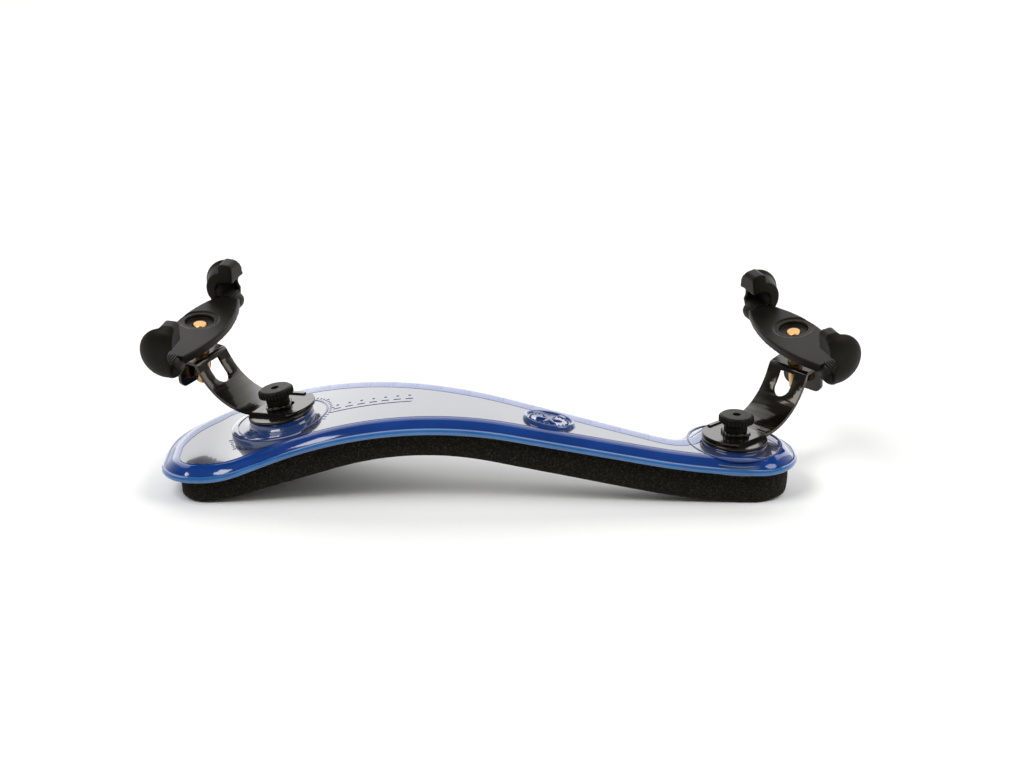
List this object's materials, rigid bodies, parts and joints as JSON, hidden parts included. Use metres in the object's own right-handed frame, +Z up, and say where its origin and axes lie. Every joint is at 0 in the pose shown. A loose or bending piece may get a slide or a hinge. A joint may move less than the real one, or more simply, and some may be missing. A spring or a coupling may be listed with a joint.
{
  "type": "violin shoulder rest",
  "caption": "Violin shoulder rest: curved translucent plate with a foam pad under it and adjustable bent-metal feet whose rubber-tipped forks grip the violin's edges.",
  "frame": {"origin": "middle of the rest's footprint, on the surface it stands on, foam down", "axes": "+X along the rest towards its narrow end, +Y towards its wide end's far edge, +Z up towards the violin"},
  "size_m": [0.235, 0.069, 0.0655],
  "materials": {
    "blue_plastic": "translucent azure blue, polished",
    "foam": "matt, fine open-cell grain",
    "brass": "turned, satin",
    "black_metal": "gloss black",
    "black_plastic": "satin moulded",
    "black_rubber": "satin rubber",
    "steel": "plain"
  },
  "bodies": {
    "rest": {"base_plate": "blue_plastic", "foam_pad": "foam", "left_boss_insert": "brass", "right_boss_insert": "brass"},
    "left_swivel": {"left_swivel_disc": "black_metal"},
    "left_arm": {"left_bracket": "black_metal", "left_stud_bush": "brass"},
    "left_clamp_plate": {"left_clamp_washer": "black_metal"},
    "left_clamp": {"left_clamp_knob": "black_plastic", "left_clamp_screw": "steel"},
    "left_riser": {"left_thrust_washer": "brass"},
    "left_stud_body": {"left_stud": "brass"},
    "left_fork_body": {"left_fork": "black_plastic", "left_near_tip": "black_rubber", "left_far_tip": "black_rubber"},
    "right_swivel": {"right_swivel_disc": "black_metal"},
    "right_arm": {"right_bracket": "black_metal", "right_stud_bush": "brass"},
    "right_clamp_plate": {"right_clamp_washer": "black_metal"},
    "right_clamp": {"right_clamp_knob": "black_plastic", "right_clamp_screw": "steel"},
    "right_riser": {"right_thrust_washer": "brass"},
    "right_stud_body": {"right_stud": "brass"},
    "right_fork_body": {"right_fork": "black_plastic", "right_near_tip": "black_rubber", "right_far_tip": "black_rubber"}
  },
  "joints": [
    {"name": "left_swing", "type": "hinge", "parent": "rest", "child": "left_swivel", "pos_m": [-0.07316, -0.01048, 0.0236], "axis": [-0.1908, 0, 0.9816], "range_deg": [-35, 35]},
    {"name": "left_arm_slide", "type": "slide", "parent": "left_swivel", "child": "left_arm", "axis": [0.9308, 0.3175, 0.1809], "range_m": [-0.0029, 0.0017]},
    {"name": "left_clamp_lift", "type": "slide", "parent": "rest", "child": "left_clamp_plate", "axis": [-0.1908, 0, 0.9816], "range_m": [0, 0.002]},
    {"name": "left_knob_turn", "type": "hinge", "parent": "left_clamp_plate", "child": "left_clamp", "pos_m": [-0.07316, -0.01048, 0.0236], "axis": [-0.1908, 0, 0.9816], "range_deg": [0, 1030.6]},
    {"name": "left_height", "type": "slide", "parent": "left_arm", "child": "left_riser", "axis": [-0.0018, -0.1241, 0.9923], "range_m": [-0.0034, 0.0062]},
    {"name": "left_stud_turn", "type": "hinge", "parent": "left_riser", "child": "left_stud_body", "pos_m": [-0.10118, 0.00819, 0.03807], "axis": [-0.0018, -0.1241, 0.9923], "range_deg": [-1532, 2792]},
    {"name": "left_fork_turn", "type": "hinge", "parent": "left_riser", "child": "left_fork_body", "pos_m": [-0.1012, 0.00668, 0.05018], "axis": [-0.0018, -0.1241, 0.9923], "continuous": true},
    {"name": "right_swing", "type": "hinge", "parent": "rest", "child": "right_swivel", "pos_m": [0.07724, -0.01648, 0.0163], "axis": [0.0436, 0, 0.999], "range_deg": [-35, 35]},
    {"name": "right_arm_slide", "type": "slide", "parent": "right_swivel", "child": "right_arm", "axis": [-0.9936, 0.1041, 0.0434], "range_m": [-0.0017, 0.0029]},
    {"name": "right_clamp_lift", "type": "slide", "parent": "rest", "child": "right_clamp_plate", "axis": [0.0436, 0, 0.999], "range_m": [0, 0.002]},
    {"name": "right_knob_turn", "type": "hinge", "parent": "right_clamp_plate", "child": "right_clamp", "pos_m": [0.07724, -0.01648, 0.0163], "axis": [0.0436, 0, 0.999], "range_deg": [0, 1030.6]},
    {"name": "right_height", "type": "slide", "parent": "right_arm", "child": "right_riser", "axis": [-0.1135, -0.1619, 0.9803], "range_m": [-0.0048, 0.005]},
    {"name": "right_stud_turn", "type": "hinge", "parent": "right_riser", "child": "right_stud_body", "pos_m": [0.09936, 0.00699, 0.03491], "axis": [-0.1135, -0.1619, 0.9803], "range_deg": [-2162, 2252]},
    {"name": "right_fork_turn", "type": "hinge", "parent": "right_riser", "child": "right_fork_body", "pos_m": [0.09783, 0.00481, 0.04814], "axis": [-0.1135, -0.1619, 0.9803], "continuous": true}
  ],
  "couplings": [
    {"joint": "left_knob_turn", "follows": "left_clamp_lift", "rad_per_m": 8976},
    {"joint": "left_stud_turn", "follows": "left_height", "rad_per_m": 7854},
    {"joint": "right_knob_turn", "follows": "right_clamp_lift", "rad_per_m": 8976},
    {"joint": "right_stud_turn", "follows": "right_height", "rad_per_m": 7854}
  ]
}
